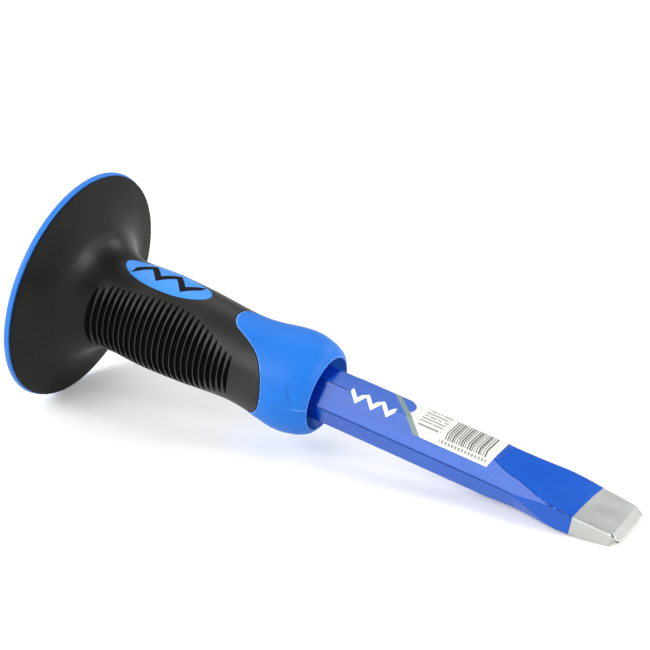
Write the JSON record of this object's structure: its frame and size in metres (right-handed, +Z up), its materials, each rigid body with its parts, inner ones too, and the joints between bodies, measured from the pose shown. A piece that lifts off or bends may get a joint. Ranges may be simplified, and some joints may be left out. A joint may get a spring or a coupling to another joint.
{
  "type": "cold chisel with hand guard",
  "caption": "Hexagonal cold chisel with a flat ground blade, a ribbed rubber grip and a round guard that shields the hand from missed blows.",
  "frame": {"origin": "centre of the bounding box at the level of the surface that the chisel lies on", "axes": "+Z up, +X from the struck head towards the cutting edge, the bar's axis lies in the XZ plane with the blade end lower"},
  "size_m": [0.251, 0.0944, 0.0928],
  "materials": {
    "bar_paint": "smooth gloss enamel over forged steel, bare ground steel on the last 17 mm of the blade",
    "bare_steel": "ground tool steel, satin, unpainted end of the blade",
    "core_plastic": "moulded plastic, satin",
    "grip_rubber": "soft overmoulded rubber, satin to matt",
    "collar_plastic": "moulded plastic, satin",
    "inlay_plastic": "moulded plastic, satin",
    "emblem_plastic": "moulded plastic, matt black",
    "label_film": "printed self-adhesive film, semi-gloss"
  },
  "bodies": {
    "root": {"chisel_bar": "bar_paint", "guard_core": "core_plastic", "grip_sleeve": "grip_rubber", "front_collar": "collar_plastic", "badge_inlay": "inlay_plastic", "badge_emblem": "emblem_plastic", "product_label": "label_film"}
  },
  "joints": []
}
